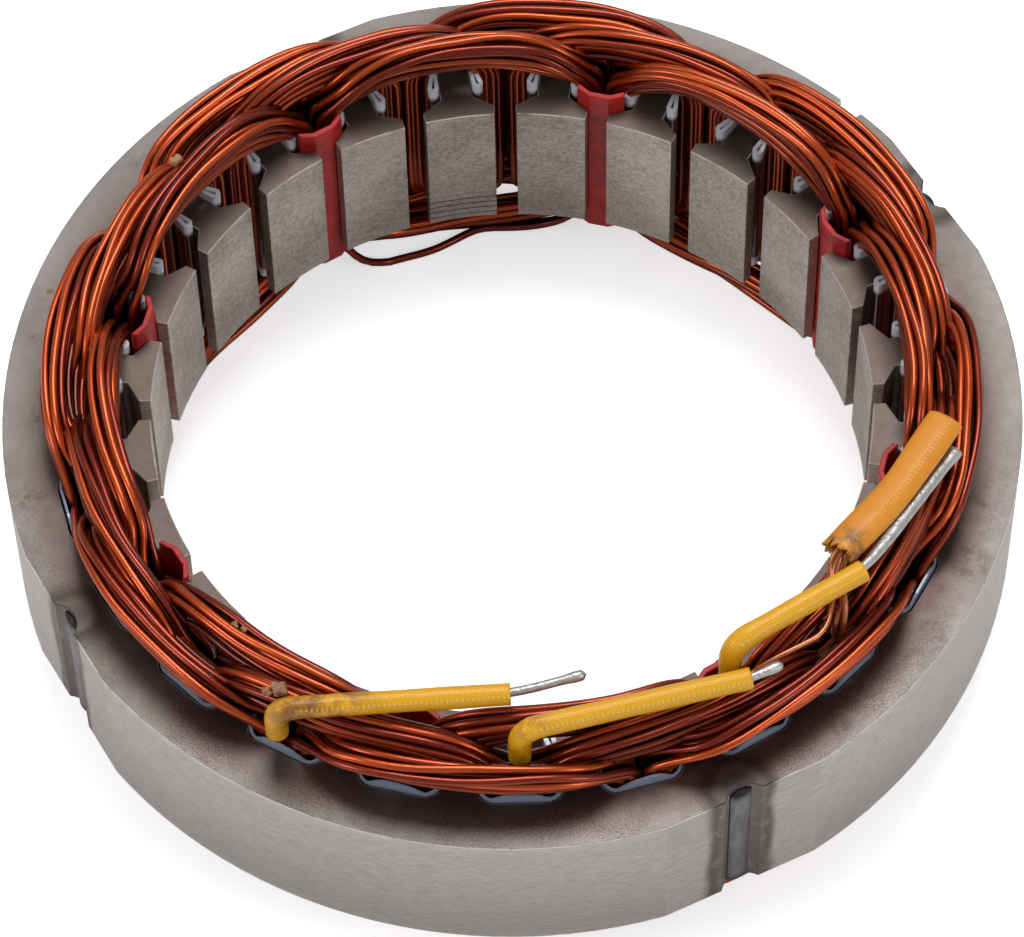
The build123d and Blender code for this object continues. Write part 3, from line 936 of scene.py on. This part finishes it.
def tapered_rod(name, path, radii, sides, spread=0.0):
    """A solid rod with rounded ends: rings along the path whose ends shrink to a point.

    Spread widens it level sideways by that share, one value or one for each ring.
    """
    tangent, first, second = carried_frames(path)
    turn = np.arange(sides) * 2 * pi / sides
    ring = np.cos(turn)[:, None] * first[:, None, :] + np.sin(turn)[:, None] * second[:, None, :]
    offset = radii[:, None, None] * ring
    sideways = np.cross(tangent, [0, 0, 1.0])
    sideways /= np.linalg.norm(sideways, axis=1, keepdims=True) + 1e-9
    widened = np.sum(offset * sideways[:, None, :], axis=2, keepdims=True) * sideways[:, None, :]
    offset = offset + widened * np.reshape(spread, (-1, 1, 1))
    mesh = capped_mesh(name, path[:, None, :] + offset)
    mesh.polygons.foreach_set("use_smooth", np.ones(len(mesh.polygons), bool))
    return mesh


def round_ends(path, radius, blob):
    """Radii along a rod: blunt at its root, swollen by blob near its far end, then rounded."""
    length = lengths_along(path)
    left = length[-1] - length
    radii = radius * (1 + blob * np.exp(-((left - 1.2 * MM) / (1.2 * MM)) ** 2))
    cap = np.clip(left / radius, 0, 1)
    return radii * np.maximum(np.sqrt(1 - (1 - cap) ** 2), 0.12)


for number, (slot_angle, lane, root, bend, sleeve_end, wire_end) in enumerate(lead_rows, 1):
    foot = np.array([cos(radians(slot_angle)), sin(radians(slot_angle)), 0]) * lane * MM
    foot[2] = half_stack + root * MM
    corner = foot.copy()
    corner[2] = half_stack + (coil_end_top + bend) * MM
    end = over_coils(*sleeve_end)
    path = smooth_run([foot, corner, end], sleeve_points)
    radii = sleeve_radius * (1 + 0.02 * np.sin(np.linspace(0, 17, sleeve_points) + number))
    from_bend = np.linalg.norm(path - corner, axis=1)
    radii *= 1 + 0.09 * np.exp(-((from_bend / (3.2 * MM)) ** 2))
    wall = sleeve_radius - sleeve_bore
    mesh = sleeve_mesh(f"sleeve_{number}", path, radii, wall, sleeve_sides, highlight_side)
    stain_share, stain_size = sleeve_stains[number - 1]
    braid = braid_finish(
        f"golden_braid_{number}",
        (0.78, 0.40, 0.008, 1),
        (0.67, 0.31, 0.005, 1),
        (0.22, 0.075, 0.014, 1),
        tuple(path[int(stain_share * (sleeve_points - 1))]),
        stain_size,
    )
    mesh.materials.append(braid.material)
    add_piece(mesh, f"sleeve_{number}", [f"lead_sleeve_{number}"])
    wire_foot = foot - np.array([0, 0, foot_depth])
    path = smooth_run([wire_foot, corner, end, over_coils(*wire_end)], lead_wire_points)
    radii = round_ends(path, lead_wire_radius, 0.25)
    share = np.linspace(0, 1, lead_wire_points)
    flattened = 0.5 * (number == 3) * smooth((share - 0.5) / 0.2)
    mesh = tapered_rod(f"wire_{number}", path, radii, lead_wire_sides, flattened)
    point_values(mesh, "tin", np.repeat(smooth((share - 0.35) / 0.1), lead_wire_sides))
    mesh.materials.append(tinned.material)
    add_piece(mesh, f"wire_{number}", [f"lead_wire_{number}"])


# Neutral joint: the other three winding ends, soldered together in a bar under a flattened
# sleeve. Its bare copper strands come up out of the slot and run into the sleeve's frayed end.
# All places are given as degrees, distance out and height over the coil ends.
neutral_places = ((321.4, -0.6, 3.5), (333.3, 0.9, 2.9), (347.3, 3.7, 2.2))
neutral_points = 60
neutral_path = smooth_run([over_coils(*place) for place in neutral_places], neutral_points)
neutral_radii = 2.25 * MM * (1 + 0.03 * np.sin(np.linspace(0, 9, neutral_points)))
mesh = sleeve_mesh(
    "neutral_cover",
    neutral_path,
    neutral_radii,
    wall=0.5 * MM,
    sides=64,
    highlight_way=(0.62, -0.25, 0.72),
    flat=0.45,
    level=np.array([0.0, 0.0, 1.0]),
    fray=1.1 * MM,
)
neutral_braid = braid_finish(
    "orange_braid",
    (0.72, 0.27, 0.008, 1),
    (0.58, 0.19, 0.005, 1),
    (0.14, 0.06, 0.02, 1),
    tuple(neutral_path[0]),
    5.0 * MM,
)
mesh.materials.append(neutral_braid.material)
add_piece(mesh, "neutral_cover", ["neutral_sleeve"])

copper = Finish("bare_copper", 0.3, 0.9)
copper.feed(
    copper.shader.inputs["Base Color"],
    copper.mix(copper.noise(500.0, 2.0, 0.5), (0.32, 0.075, 0.025, 1), (0.70, 0.28, 0.13, 1)),
)
strand_points = 120
strand_sides = 10
strands = []
for side, sway in ((-0.9, 0.5), (0.1, -0.5), (0.9, 0.2)):
    places = [
        over_coils(315.0, 3.5 + 1.1 * side, -4.7),
        over_coils(315.0 + sway, 3.6 + 1.1 * side, -1.7),
        over_coils(316.6 - sway, 2.9 + 1.0 * side, 0.4 + sway),
        over_coils(319.4 + sway, -0.3 + 0.9 * side, 1.8),
        over_coils(322.0, -0.5 + 0.7 * side, 3.2),
        over_coils(333.3, 0.9 + 0.6 * side, 2.9),
        over_coils(345.0, 3.3 + 0.5 * side, 2.2),
    ]
    path = smooth_run(places, strand_points)
    radii = round_ends(path, 0.42 * MM, 0.0)
    strands.append(tapered_rod("strand", path, radii, strand_sides))

# A fourth, thinner strand loops out past the last lead and down into the coil ends.
loop_places = (
    (325.0, -0.3, 3.1),
    (321.0, -0.2, 3.0),
    (316.5, 1.6, 1.6),
    (313.2, 3.9, 1.1),
    (311.0, 4.5, 1.0),
    (308.3, 4.0, 0.9),
    (304.5, 3.3, 0.6),
    (301.0, 2.9, -0.4),
    (300.0, 2.9, -3.0),
)
path = smooth_run([over_coils(*place) for place in loop_places], strand_points)
strands.append(tapered_rod("strand", path, round_ends(path, 0.3 * MM, 0.0), strand_sides))
merged = bpy.data.objects.new("neutral_strands", strands[0])
bpy.context.collection.objects.link(merged)
bpy.ops.object.select_all(action="DESELECT")
for mesh in strands[1:]:
    extra = bpy.data.objects.new(mesh.name, mesh)
    bpy.context.collection.objects.link(extra)
    extra.select_set(True)
merged.select_set(True)
bpy.context.view_layer.objects.active = merged
bpy.ops.object.join()
merged.data.materials.clear()
merged.data.materials.append(copper.material)
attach(merged, "root")
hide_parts("neutral_joint")


# Dried varnish: a few brown crumbs and flakes of resin stuck on the coil ends. Each is a short
# stub with a bulging, uneven outline.
resin = Finish("dried_varnish", 0.16, 0.0)
resin.feed(
    resin.shader.inputs["Base Color"],
    resin.mix(resin.noise(900.0, 3.0, 0.6), (0.10, 0.028, 0.010, 1), (0.72, 0.42, 0.22, 1)),
)
resin.bump(resin.noise(1300.0, 4.0, 0.7), 1.0, 0.6 * MM)

# Each crumb: degrees, distance out and height over the coil ends in millimetres, and its size.
crumb_places = (
    (238.5, 4.0, -0.5, 1.15),
    (237.2, 4.9, -0.9, 0.7),
    (227.8, 0.0, -0.6, 0.6),
    (229.2, -0.3, -0.6, 0.45),
    (142.6, 2.6, -0.3, 0.9),
)
crumb_rings = 16
for number, (angle, outwards, height, size) in enumerate(crumb_places, 1):
    start = over_coils(angle - 1.1 * size, outwards - 0.3, height)
    end = over_coils(angle + 1.1 * size, outwards, height)
    path = np.linspace(start, end, crumb_rings)
    share = np.linspace(-1, 1, crumb_rings)
    bulge = np.sqrt(np.maximum(1 - share**2, 0.01)) * (1 + 0.22 * np.sin(share * 5 + number))
    mesh = tapered_rod(f"varnish_crumb_{number}", path, 0.75 * size * MM * bulge, 12)
    mesh.materials.append(resin.material)
    add_piece(mesh, f"varnish_crumb_{number}", [])
